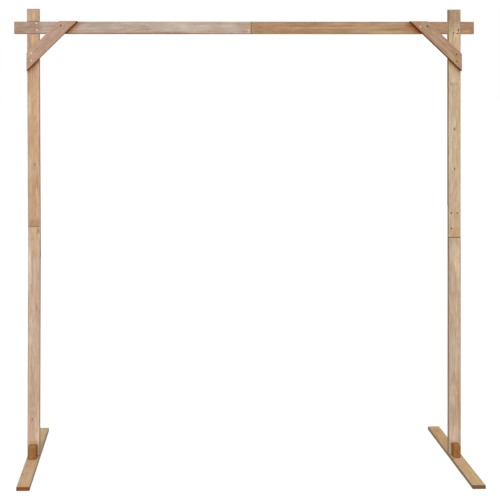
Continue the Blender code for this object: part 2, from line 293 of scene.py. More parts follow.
HEAD_RADIUS = 0.0039
HEAD_RIM = 0.0005
HEAD_DEPTH = 0.0034
SHANK_RADIUS = 0.0019
CORE_RADIUS = 0.0013
THREAD_PITCH = 0.0016
POINT_LENGTH = 0.005
SCREW_SIDES = 24
HEAD_RINGS = 14
RECESS_RADIUS = 0.0023
RECESS_DEPTH = 0.0022
WING_WIDTH = 0.00045
SCREW_SHARP_ANGLE = radians(40)
HOLE_SIDES = 20


def recess_depth(x, y):
    """Depth of the cross recess in a screw head."""
    x, y = abs(x), abs(y)
    long_way, short_way = max(x, y), min(x, y)
    wing = WING_WIDTH - 0.00008 * long_way / RECESS_DEPTH
    if long_way > RECESS_RADIUS or short_way > wing * 1.5:
        return 0.0
    wall = min(1.0, max(0.0, (wing * 1.5 - short_way) / (wing * 0.5)))
    end = min(1.0, (RECESS_RADIUS - long_way) / 0.0004)
    return (RECESS_DEPTH - 0.0007 * long_way / RECESS_RADIUS) * wall * end


def screw_mesh(name, length):
    """A countersunk wood screw that points down from its head at z = 0."""
    verts, faces, rings = [], [], []

    def add_ring(make_point):
        rings.append(len(verts))
        verts.extend(make_point(2 * pi * side / SCREW_SIDES) for side in range(SCREW_SIDES))

    def flat(radius, drop):
        def make_point(angle):
            x, y = radius * cos(angle), radius * sin(angle)
            return x, y, -drop - recess_depth(x, y)
        return make_point

    for step in range(1, HEAD_RINGS + 1):
        add_ring(flat((HEAD_RADIUS - 0.0004) * step / HEAD_RINGS, 0.0))
    add_ring(flat(HEAD_RADIUS - 0.0001, 0.00008))
    add_ring(flat(HEAD_RADIUS, 0.00025))
    add_ring(flat(HEAD_RADIUS, HEAD_RIM))
    add_ring(flat((HEAD_RADIUS + SHANK_RADIUS) / 2, (HEAD_RIM + HEAD_DEPTH) / 2))
    add_ring(flat(SHANK_RADIUS, HEAD_DEPTH))
    add_ring(flat(CORE_RADIUS, HEAD_DEPTH + 0.0004))

    depth = HEAD_DEPTH + 0.0008
    while depth < length - 0.0004:
        def threaded(angle, depth=depth):
            turn = (depth / THREAD_PITCH - angle / (2 * pi)) % 1.0
            ridge = max(0.0, 1 - abs(turn - 0.5) / 0.22)
            radius = CORE_RADIUS + (SHANK_RADIUS - CORE_RADIUS) * ridge
            radius *= min(1.0, (length - depth) / POINT_LENGTH)
            return radius * cos(angle), radius * sin(angle), -depth
        add_ring(threaded)
        depth += THREAD_PITCH / 6

    for upper, lower in zip(rings, rings[1:]):
        faces += ring_faces(upper, lower, SCREW_SIDES)
    for ring, depth in ((rings[0], recess_depth(0, 0)), (rings[-1], length)):
        verts.append((0, 0, -depth))
        faces += fan_faces(ring, len(verts) - 1, SCREW_SIDES)
    mesh = closed_mesh(name, verts, faces)
    mesh.shade_smooth()
    mesh.set_sharp_from_angle(angle=SCREW_SHARP_ANGLE)
    return mesh


def hole_cutter(matrix, length):
    """The countersunk hole that a screw sits in, a little wider than the screw."""
    profile = [
        (HEAD_RADIUS + GAP, MARGIN),
        (HEAD_RADIUS + GAP, -HEAD_RIM),
        (SHANK_RADIUS + GAP, -HEAD_DEPTH - GAP),
        (SHANK_RADIUS + GAP, -length - GAP),
    ]
    verts, faces = [], []
    for radius, height in profile:
        for side in range(HOLE_SIDES):
            angle = 2 * pi * side / HOLE_SIDES
            point = Vector((radius * cos(angle), radius * sin(angle), height))
            verts.append(matrix @ point)
    last = (len(profile) - 1) * HOLE_SIDES
    for ring in range(0, last, HOLE_SIDES):
        faces += ring_faces(ring, ring + HOLE_SIDES, HOLE_SIDES)
    faces += [tuple(range(first, first + HOLE_SIDES)) for first in (0, last)]
    return solid("cutter_hole", verts, faces)


class Graph:
    """Short ways to add shader nodes to one material."""

    def __init__(self, name):
        self.material = bpy.data.materials.new(name)
        self.material.use_nodes = True
        self.tree = self.material.node_tree
        self.shader = self.tree.nodes["Principled BSDF"]

    def feed(self, socket, value):
        if isinstance(value, bpy.types.NodeSocket):
            self.tree.links.new(value, socket)
        elif socket.type == "RGBA" and len(value) == 3:
            socket.default_value = (*value, 1.0)
        else:
            socket.default_value = value

    def node(self, kind, inputs=(), **settings):
        made = self.tree.nodes.new(f"ShaderNode{kind}")
        for key, value in settings.items():
            setattr(made, key, value)
        for key, value in dict(inputs).items():
            self.feed(made.inputs[key], value)
        return made

    def math(self, operation, *values):
        made = self.node("Math", enumerate(values), operation=operation)
        return made.outputs[0]

    def times(self, a, b):
        return self.math("MULTIPLY", a, b)

    def vector(self, operation, *values):
        made = self.node("VectorMath", enumerate(values), operation=operation)
        return made.outputs["Value" if operation in ("LENGTH", "DOT_PRODUCT") else "Vector"]

    def smooth(self, value, low, high, start=0.0, end=1.0):
        """start below low, end above high, smooth between them."""
        inputs = {"Value": value, "From Min": low, "From Max": high, "To Min": start, "To Max": end}
        made = self.node("MapRange", inputs, interpolation_type="SMOOTHSTEP")
        return made.outputs["Result"]

    def noise(self, vector, scale=1.0, detail=2.0, roughness=0.5):
        inputs = {"Vector": vector, "Scale": scale, "Detail": detail, "Roughness": roughness}
        return self.node("TexNoise", inputs).outputs[0]

    def grain(self, vector, scale, detail=2.0, roughness=0.5):
        """Noise with its own scale along x, y and z."""
        return self.noise(self.vector("MULTIPLY", vector, scale), 1.0, detail, roughness)

    def distance(self, place, centre, scale):
        """How far a place is from a centre, with its own scale along x, y and z."""
        offset = self.vector("SUBTRACT", place, centre)
        return self.vector("LENGTH", self.vector("MULTIPLY", offset, scale))

    def split(self, vector):
        return self.node("SeparateXYZ", {0: vector}).outputs

    def noise_along(self, value, scale, detail=1.0):
        inputs = {"W": value, "Scale": scale, "Detail": detail}
        return self.node("TexNoise", inputs, noise_dimensions="1D").outputs[0]

    def mix(self, factor, a, b, blend="MIX"):
        inputs = {0: factor, 6: a, 7: b}
        made = self.node("Mix", inputs, data_type="RGBA", blend_type=blend)
        return made.outputs[2]

    def surface(self, values):
        """Set or link the shader's own sockets. The material is ready then."""
        for name, value in values.items():
            self.feed(self.shader.inputs[name], value)
        return self.material

    def cover(self, tone, shade, value, *steps):
        """The shade over the tone, as strong as smooth makes it from the value and the steps."""
        return self.mix(self.smooth(value, *steps), tone, shade)


def tinted(colour, red, green, blue):
    return colour[0] * red, colour[1] * green, colour[2] * blue


def growth_rings(graph, own, shift, board, pith, spacing):
    """Late wood, groups of rings and the distance from each knot.

    pith is (across, depth, tilt): where the middle of the tree, round which
    the rings lie, is from the board's middle line, and how fast it comes closer
    along the board.
    """
    x, y, z = graph.split(own)
    seed = board.seed
    sideways = graph.noise_along(graph.math("ADD", x, seed), 2.3)
    inwards = graph.noise_along(graph.math("ADD", x, seed + 9.0), 1.7)
    wander_y = graph.math("MULTIPLY_ADD", sideways, 0.024, -0.012 - pith[0])
    wander_z = graph.math("MULTIPLY_ADD", inwards, 0.020, pith[1] - 0.010)
    lean = graph.math("MULTIPLY_ADD", x, pith[2], wander_z)
    across, depth = graph.math("ADD", y, wander_y), graph.math("ADD", z, lean)
    from_pith = graph.node("CombineXYZ", {1: across, 2: depth}).outputs[0]
    radius = graph.vector("LENGTH", from_pith)
    radius = graph.math("MULTIPLY_ADD", graph.grain(shift, (7, 60, 60)), 0.0018, radius)
    distances = []
    for knot_x, knot_y, size, strength in board.knots:
        stretch = (0.62 / size, 1 / size, 0.15 / size)
        distance = graph.distance(own, (knot_x, knot_y, 0), stretch)
        push = graph.smooth(distance, 0.6, 3.4, 1.0, 0.0)
        radius = graph.math("MULTIPLY_ADD", push, size * 1.1, radius)
        distances.append((distance, strength))
    phase = graph.math("DIVIDE", radius, spacing)
    turn = graph.math("FRACT", phase)
    late = graph.times(graph.smooth(turn, 0.30, 0.88), graph.smooth(turn, 0.93, 1.0, 1.0, 0.0))
    ring = graph.node("TexWhiteNoise", {"W": graph.math("FLOOR", phase)}, noise_dimensions="1D")
    late = graph.times(late, graph.smooth(ring.outputs["Value"], 0.0, 1.0, 0.35, 1.0))
    group = graph.smooth(graph.noise_along(radius, 105.0, 2.0), 0.38, 0.68)
    return late, group, distances


def knots_over(graph, tone, colour, knots):
    """The tone with the halo, the bark and the rings of each knot over it."""
    for distance, strength in knots:
        halo = tinted(colour, 0.70, 0.60, 0.44)
        tone = graph.cover(tone, halo, distance, 0.7, 2.6, 0.45 * strength, 0.0)
        bark = (0.12, 0.070, 0.035)
        tone = graph.cover(tone, bark, distance, 0.85, 1.1, 0.9 * strength, 0.0)
        waves = graph.math("SINE", graph.times(distance, 13.0))
        core = graph.smooth(waves, -0.6, 0.9, 0.0, 0.35 * strength)
        inside = graph.smooth(distance, 0.75, 0.95, 1.0, 0.0)
        tone = graph.mix(graph.times(core, inside), tone, (0.26, 0.15, 0.07))
    return tone


def edges_joints_and_shadow_over(graph, tone, board, place, blotch):
    """The tone darker along edges and joint lines, with painted shade on many edges and a painted
    shadow below the braces.
    """
    x, y, z = place
    half = board.width / 2
    uneven = graph.smooth(blotch, 0.25, 0.65, 0.55, 1.0)
    # Darker bands along the long edges, most of them painted shade.
    for side, shade, strength, reach, skip_x in board.rims:
        outwards = graph.times(y, side)
        near = graph.smooth(outwards, half - reach, half - 0.0004, 0.0, strength)
        if skip_x is not None:
            off = graph.math("ABSOLUTE", graph.math("SUBTRACT", x, skip_x))
            near = graph.times(near, graph.smooth(off, 0.026, 0.036, 0.15, 1.0))
        tone = graph.mix(graph.times(near, uneven), tone, shade)
    in_front = graph.smooth(z, -0.001, 0.004)
    for band_x, reach, shade, strength in board.bands:
        off = graph.math("ABSOLUTE", graph.math("SUBTRACT", x, band_x))
        near = graph.smooth(off, reach * 0.2, reach, strength, 0.0)
        near = graph.times(graph.times(near, uneven), in_front)
        tone = graph.mix(near, tone, shade)

    # Painted shadow below the braces: the tone multiplied by a warm, dark tint.
    for edge_x, edge_y, away_x, away_y, reach, tint, strength in board.painted_shadows:
        along_x = graph.times(graph.math("SUBTRACT", x, edge_x), away_x)
        far = graph.math("MULTIPLY_ADD", graph.math("SUBTRACT", y, edge_y), away_y, along_x)
        below = graph.smooth(far, 0.0, reach, strength, 0.0)
        near = graph.times(graph.times(below, graph.smooth(far, -0.03, -0.02)), in_front)
        tone = graph.mix(near, tone, graph.mix(1.0, tone, tint, "MULTIPLY"))
    return tone


def wood(name, board, colour, pith, spacing, contrast=1.0, figure=1.0, painted_side_shade=0.35, ends=None):
    """Planed pine with growth rings, fibres, blotches, knots, stains, dark edges and joints, and
    painted shade and shadow.

    contrast is the strength of the rings and figure that of the lengthwise streaks and mottling.
    The side-face argument is how much shade is painted on the side faces. ends are the colours of
    the two end grains.
    """
    graph = Graph(name)
    place = graph.node("TexCoord")
    own = place.outputs["Object"]
    x, y, z = graph.split(own)
    shift = graph.vector("ADD", own, (board.seed * 3.7, board.seed * 1.3, board.seed * 0.7))
    late, group, knots = growth_rings(graph, own, shift, board, pith, spacing)

    # Fibres, fine pores and slow blotches.
    fibre = graph.grain(shift, (22, 900, 900), 3.0, 0.6)
    pore = graph.smooth(graph.grain(shift, (90, 1500, 1500), 1.0), 0.66, 0.78)
    blotch = graph.grain(shift, (5.0, 34, 34), 3.0, 0.55)
    cloud = graph.grain(shift, (1.6, 12, 12))
    streak = graph.grain(shift, (2.6, 210, 210), 2.0, 0.6)
    mottle = graph.grain(shift, (17, 80, 80), 2.0, 0.6)
    fleck = graph.grain(shift, (60, 190, 190), 1.0)
    swirled = {"Vector": graph.vector("MULTIPLY", shift, (20, 90, 90)), "Scale": 1.0}
    swirl = graph.node("TexNoise", swirled)
    drift = graph.vector("SUBTRACT", swirl.outputs["Color"], (0.5, 0.5, 0.5))
    warped = graph.vector("ADD", own, graph.vector("MULTIPLY", drift, (0.030, 0.006, 0.0)))

    cool, warm = tinted(colour, 0.93, 0.94, 0.96), tinted(colour, 1.06, 1.05, 1.02)
    tone = graph.cover(cool, warm, cloud, 0.3, 0.7)
    worn = tinted(colour, 0.97, 0.90, 0.80)
    tone = graph.cover(tone, worn, blotch, 0.35, 0.75, 0.0, 0.75 * contrast)
    tone = graph.mix(graph.times(group, 0.55 * contrast), tone, tinted(colour, 0.88, 0.78, 0.64))
    tone = graph.mix(graph.times(late, 0.50 * contrast), tone, tinted(colour, 0.70, 0.56, 0.42))
    for stain_x, stain_y, long_way, wide_way, stain, strength in board.stains:
        stretch = (1 / long_way, 1 / wide_way, 90.0)
        far = graph.distance(warped, (stain_x, stain_y, board.thickness / 2), stretch)
        tone = graph.cover(tone, stain, far, 0.35, 1.15, strength, 0.0)
    for value, least in ((streak, 1 - 0.09 * figure), (mottle, 1 - 0.10 * figure)):
        tone = graph.mix(1.0, tone, graph.smooth(value, 0.30, 0.70, least, 2 - least), "MULTIPLY")
    light, deep = tinted(colour, 1.25, 1.24, 1.20), tinted(colour, 0.62, 0.52, 0.42)
    tone = graph.cover(tone, light, fleck, 0.62, 0.74, 0.0, 0.30 * figure)
    tone = graph.cover(tone, deep, fleck, 0.26, 0.38, 0.34 * figure, 0.0)
    tone = graph.cover(tone, (0.10, 0.055, 0.03), fibre, 0.25, 0.75, 0.16, 0.0)
    tone = graph.mix(graph.times(pore, 0.22), tone, (0.12, 0.06, 0.03))
    tone = knots_over(graph, tone, colour, knots)
    tone = edges_joints_and_shadow_over(graph, tone, board, (x, y, z), blotch)

    # Painted shade on the side faces, and darker, warmer end grain.
    facing_x, facing_y, _ = graph.split(place.outputs["Normal"])
    side_shade_colour, beside = tinted(colour, 0.62, 0.52, 0.44), graph.math("ABSOLUTE", facing_y)
    tone = graph.cover(tone, side_shade_colour, beside, 0.5, 0.9, 0.0, painted_side_shade)
    from_end = graph.math("MINIMUM", x, graph.math("SUBTRACT", board.length, x))
    dark = tinted(colour, 0.44, 0.36, 0.29)
    tone = graph.cover(tone, dark, from_end, 0.0003, 0.006, 0.65, 0.0)
    ring_lines = graph.smooth(late, 0.1, 0.8, 0.0, 0.45)
    speck = graph.smooth(graph.grain(shift, (300, 700, 700)), 0.3, 0.7, 0.0, 0.35)
    low_end, high_end = ends or (tinted(colour, 0.62, 0.50, 0.38),) * 2
    half = board.width / 2
    outer = graph.smooth(graph.math("ABSOLUTE", y), half - 0.014, half - 0.001, 0.0, 0.55)
    for way, shade in ((-1.0, low_end), (1.0, high_end)):
        cut = graph.mix(ring_lines, shade, tinted(shade, 0.55, 0.45, 0.38))
        cut = graph.mix(speck, cut, tinted(shade, 0.72, 0.66, 0.60))
        cut = graph.mix(outer, cut, tinted(shade, 0.42, 0.42, 0.48))
        tone = graph.cover(tone, cut, graph.times(facing_x, way), 0.5, 0.8)

    height = graph.math("MULTIPLY_ADD", late, 0.45, graph.times(fibre, 0.55))
    height = graph.math("SUBTRACT", height, graph.times(pore, 0.4))
    bump = graph.node("Bump", {"Height": height, "Strength": 0.55, "Distance": 0.0005})
    return graph.surface({
        "Base Color": tone,
        "Roughness": graph.smooth(fibre, 0.2, 0.8, 0.84, 0.62),
        "Normal": bump.outputs["Normal"],
        "Specular IOR Level": 0.25,
    })


def screw_metal(name, colour, worn, roughness, metallic):
    """Plated steel with finer wear, and scuffs that show the metal below."""
    graph = Graph(name)
    own = graph.node("TexCoord").outputs["Object"]
    scuffs = graph.noise(own, 900.0, 4.0, 0.65)
    darkening = graph.noise(own, 420.0, 2.0)
    tone = graph.cover(colour, worn, scuffs, 0.48, 0.66)
    tone = graph.cover(tone, (0.07, 0.04, 0.025), darkening, 0.45, 0.75, 0.0, 0.45)
    bump = graph.node("Bump", {"Height": scuffs, "Strength": 0.25, "Distance": 0.00015})
    return graph.surface({
        "Base Color": tone,
        "Roughness": graph.smooth(scuffs, 0.3, 0.7, roughness - 0.1, roughness + 0.15),
        "Normal": bump.outputs["Normal"],
        "Metallic": metallic,
    })


SEAM_WIDTH = 0.002
SEAM_DEPTH = 0.0014


def half_lap(taken, low_x, high_x, low_z, high_z):
    """A cutter that takes the front or the back half of the thickness off a board."""
    y = (FRONT - MARGIN, GAP / 2) if taken == "front" else (-GAP / 2, BACK + MARGIN)
    return box_cutter((low_x, y[0], low_z), (high_x, y[1], high_z))


def seam_groove(y, start, end):
    """A small V-shaped groove where two flush boards meet, on the front or the back face."""
    out = FORWARD if y < 0 else INTO_BACK
    ends = [Vector((x, y, z)) for x, z in (start, end)]
    return groove_cutter(*ends, out, SEAM_WIDTH, SEAM_DEPTH)


class Board:
    """One board of the arch with its own axes, and what is cut into it and drawn on it."""

    def __init__(self, node, along, facing, seed):
        self.node, self.seed = node, seed
        self.facing, self.lean = facing, LEANS.get(node, 0.0)
        self.along = (along + RIGHT * self.lean).normalized()
        self.low, self.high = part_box(node)
        size, middle = self.high - self.low, (self.low + self.high) / 2
        self.length, self.thickness = abs(size.dot(along)), abs(size.dot(facing))
        self.width = abs(size.dot(facing.cross(along)))
        if self.lean:
            self.width = BOARD_WIDTH
            self.length -= abs(self.lean) * BOARD_WIDTH
        self.start = middle - self.along * self.length / 2
        self.edge_radius, self.end_radius = EDGE_RADIUS, END_RADIUS
        self.cutters, self.knots, self.stains = [], [], []
        self.rims, self.bands, self.painted_shadows = [], [], []

    @property
    def matrix(self):
        return frame_matrix(self.start, self.along, self.facing)

    def local(self, place):
        """Where a point of the show face lies on the board: (x, z) in front, (x, y) on a foot."""
        lies_flat = abs(self.facing.z) > 0.5
        point = (*place, self.high.z) if lies_flat else (place[0], self.low.y, place[1])
        return self.matrix.inverted() @ Vector(point)

    def stain(self, x, height, long_way, wide_way, colour, strength):
        """A soft patch, with its sizes in millimetres and its colour in 0-255 values."""
        point = self.local((x / 1000, height / 1000))
        reach = long_way / 1000, wide_way / 1000
        self.stains.append((*point.xy, *reach, srgb(*colour), strength))

    def knot(self, place, size, strength=1.0):
        self.knots.append((*self.local(place).xy, size, strength))

    def rim(self, towards, colour, strength, reach=0.0035, skip_at=None):
        """A darker band along the long edge on the side that towards points to.

        The last argument is the place of a short stretch that is left out.
        """
        side = 1.0 if towards.dot(self.facing.cross(self.along)) > 0 else -1.0
        self.rims.append((side, colour, strength, reach, skip_at and self.local(skip_at).x))

    def paint_shadow_below(self, brace, reach, tint, strength):
        """A painted shadow, darker and warmer wood, that spreads below a brace's long lower edge.
        """
        into = self.matrix.inverted()
        below = brace.along.cross(brace.facing)
        below = below if below.z < 0 else -below
        edge = into @ (brace.start + below * brace.width / 2)
        away = into.to_3x3() @ below
        self.painted_shadows.append((edge.x, edge.y, away.x, away.y, reach, tint, strength))

    def band(self, place, reach, colour, strength):
        """A stain across the whole show face, as wide as reach to each side."""
        self.bands.append((self.local(place).x, reach, colour, strength))

    def cut(self, *cutters):
        self.cutters += cutters

    def crack(self, start, end, width, depth):
        """A crack on the show face, between two of its points."""
        matrix, top = self.matrix, self.thickness / 2
        ends = [matrix @ Vector((*self.local(place).xy, top)) for place in (start, end)]
        self.cut(crack_cutter(*ends, self.facing, width, depth, self.seed))

    def span_at(self, height):
        """The low and high x of an upright board at a height."""
        middle = (self.low + self.high) / 2
        centre = middle.x + self.lean * (height - middle.z)
        reach = self.width / 2 * (1 + abs(self.lean))
        return centre - reach, centre + reach

    def build(self, material):
        knots = [knot[:3] for knot in self.knots]
        sizes = self.length, self.width, self.thickness
        mesh = board_mesh(self.node, *sizes, self.seed, knots, self.edge_radius, self.end_radius)
        piece = new_object(f"{self.node}_wood", mesh, self.matrix)
        carve(piece, self.cutters)
        piece.data.materials.clear()
        piece.data.materials.append(material)
        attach(piece, "root")
        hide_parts(self.node)


def make_boards():
    """Every board with its axes. The feet lie flat, the rest shows its wide face in front."""
    boards = {}
    for seed, (node, along, facing) in enumerate((
        ("left_post_lower", UP, FORWARD), ("left_post_upper", UP, FORWARD),
        ("right_post_lower", UP, FORWARD), ("right_post_upper", UP, FORWARD),
        ("beam_left", RIGHT, FORWARD), ("beam_right", RIGHT, FORWARD),
        ("left_foot", INTO_BACK, UP), ("right_foot", INTO_BACK, UP),
        ("left_foot_block", UP, FORWARD), ("right_foot_block", UP, FORWARD),
    ), 11):
        board = boards[node] = Board(node, along, facing, seed)
        if "block" in node:
            board.edge_radius = board.end_radius = BLOCK_RADIUS
    for side, width, seed in ((-1, LEFT_BRACE_WIDTH, 21), (1, RIGHT_BRACE_WIDTH, 22)):
        node = "left_brace" if side < 0 else "right_brace"
        low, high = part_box(node)
        outer_x, inner_x = (low.x, high.x) if side < 0 else (high.x, low.x)
        foot, head = Vector((outer_x, 0, low.z)), Vector((inner_x, 0, high.z))
        brace = Board(node, (head - foot).normalized(), FORWARD, seed)
        inward = brace.along.cross(INTO_BACK) * -side
        brace.width, brace.thickness = width, high.y - low.y
        brace.length = (head - foot).length + 0.02
        brace.start = foot - brace.along * 0.01 + inward * width / 2
        brace.start.y = (low.y + high.y) / 2
        upright = sorted((outer_x, outer_x + side * 0.2))
        level = sorted((outer_x + side * 0.2, inner_x - side * 0.2))
        front, back = low.y - MARGIN, high.y + MARGIN
        brace.cut(
            box_cutter((upright[0], front, low.z - 0.1), (upright[1], back, high.z + 0.1)),
            box_cutter((level[0], front, high.z), (level[1], back, high.z + 0.2)),
        )
        boards[node] = brace
    return boards


def cut_laps(boards):
    """Halve the boards where they cross and where they are spliced."""
    for side in ("left", "right"):
        lower, upper = boards[f"{side}_post_lower"], boards[f"{side}_post_upper"]
        wide = (lower.low.x - MARGIN, lower.high.x + MARGIN)
        bottom, top = upper.low.z - GAP, lower.high.z + GAP
        lower_side, upper_side = ("back", "front") if side == "left" else ("front", "back")
        lower.cut(half_lap(lower_side, *wide, bottom, top + MARGIN))
        upper.cut(half_lap(upper_side, *wide, bottom - MARGIN, top))
        faces = (FRONT, BACK) if side == "left" else (BACK, FRONT)
        for board in (lower, upper):
            for y, z in zip(faces, (top - GAP / 2, bottom + GAP / 2)):
                board.cut(seam_groove(y, (wide[0], z), (wide[1], z)))

    left, right = boards["beam_left"], boards["beam_right"]
    tall = (left.low.z - MARGIN, left.high.z + MARGIN)
    lap_left, lap_right = right.low.x - GAP, left.high.x + GAP
    left.cut(half_lap("back", lap_left, lap_right + MARGIN, *tall))
    right.cut(half_lap("front", lap_left - MARGIN, lap_right, *tall))
    for board in (left, right):
        for y, x in ((FRONT, lap_right - GAP / 2), (BACK, lap_left + GAP / 2)):
            board.cut(seam_groove(y, (x, tall[0]), (x, tall[1])))

    for post, beam, beam_taken, post_taken in (
        ("left_post_upper", "beam_left", "back", "front"),
        ("right_post_upper", "beam_right", "front", "back"),
    ):
        post, beam = boards[post], boards[beam]
        low_x, high_x = post.span_at((beam.low.z + beam.high.z) / 2)
        xs, zs = (low_x - GAP, high_x + GAP), (beam.low.z - GAP, beam.high.z + GAP)
        beam.cut(half_lap(beam_taken, *xs, zs[0] - MARGIN, zs[1] + MARGIN))
        post.cut(half_lap(post_taken, xs[0] - MARGIN, xs[1] + MARGIN, *zs))


def screw_place(node):
    """The matrix at a screw's head, with -z into the wood, and the screw's length."""
    low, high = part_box(node)
    middle, length = (low + high) / 2, high.y - low.y
    if "foot" in node:
        head, direction, length = Vector((middle.x, middle.y, low.z)), UP, high.z - low.z
    elif node.startswith("left_post_splice"):
        head, direction = Vector((middle.x, high.y, middle.z)), FORWARD
    else:
        head, direction = Vector((middle.x, low.y, middle.z)), INTO_BACK
    turned = direction.to_track_quat("-Z", "Y").to_matrix().to_4x4()
    return Matrix.Translation(head) @ turned, length


# The numbers of the dull screws in each group.
DULL_SCREWS = {
    "left_crossing": "34", "right_crossing": "34", "beam_splice": "234",
    "right_post_splice": "2", "left_brace": "4",
}


def overlap(first, second):
    """Whether two boxes share some room."""
    (low, high), (other_low, other_high) = first, second
    return all(low[axis] < other_high[axis] and high[axis] > other_low[axis] for axis in range(3))


def add_screws(boards, bright, dull, dark):
    """A detailed screw for every screw node, and its hole in each board that it enters."""
    meshes = {}
    for number, node in enumerate(sorted(name for name in frame["nodes"] if "_screw_" in name)):
        matrix, length = screw_place(node)
        slot_name = SLOTS[node]
        group, place = node.split("_screw_")
        is_dull = place in DULL_SCREWS.get(group, "")
        material = dull if is_dull else bright if slot_name == "bright_screw" else dark
        key = (round(length, 4), material.name)
        if key not in meshes:
            meshes[key] = screw_mesh(f"{material.name}_{round(length * 1000)}", length)
            meshes[key].materials.append(material)
        turned = matrix @ Matrix.Rotation(radians(47 * number), 4, "Z")
        screw = new_object(f"{node}_steel", meshes[key], turned)
        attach(screw, "root")
        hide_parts(node)
        for board in boards.values():
            if overlap(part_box(node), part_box(board.node)):
                board.cut(hole_cutter(matrix, length))


def srgb(red, green, blue):
    """A linear colour from 0-255 values."""
    parts = (red / 255, green / 255, blue / 255)
    return tuple(v / 12.92 if v <= 0.04045 else ((v + 0.055) / 1.055) ** 2.4 for v in parts)


# Colours of the marks in 0-255 values.
YELLOW = (214, 178, 122)
CREAM = (222, 198, 158)
PINK = (208, 170, 150)
RED_BROWN = (176, 124, 88)
ORANGE = (190, 130, 80)
BROWN = (140, 100, 66)
DARK = (96, 66, 44)
GREENISH = (186, 170, 138)

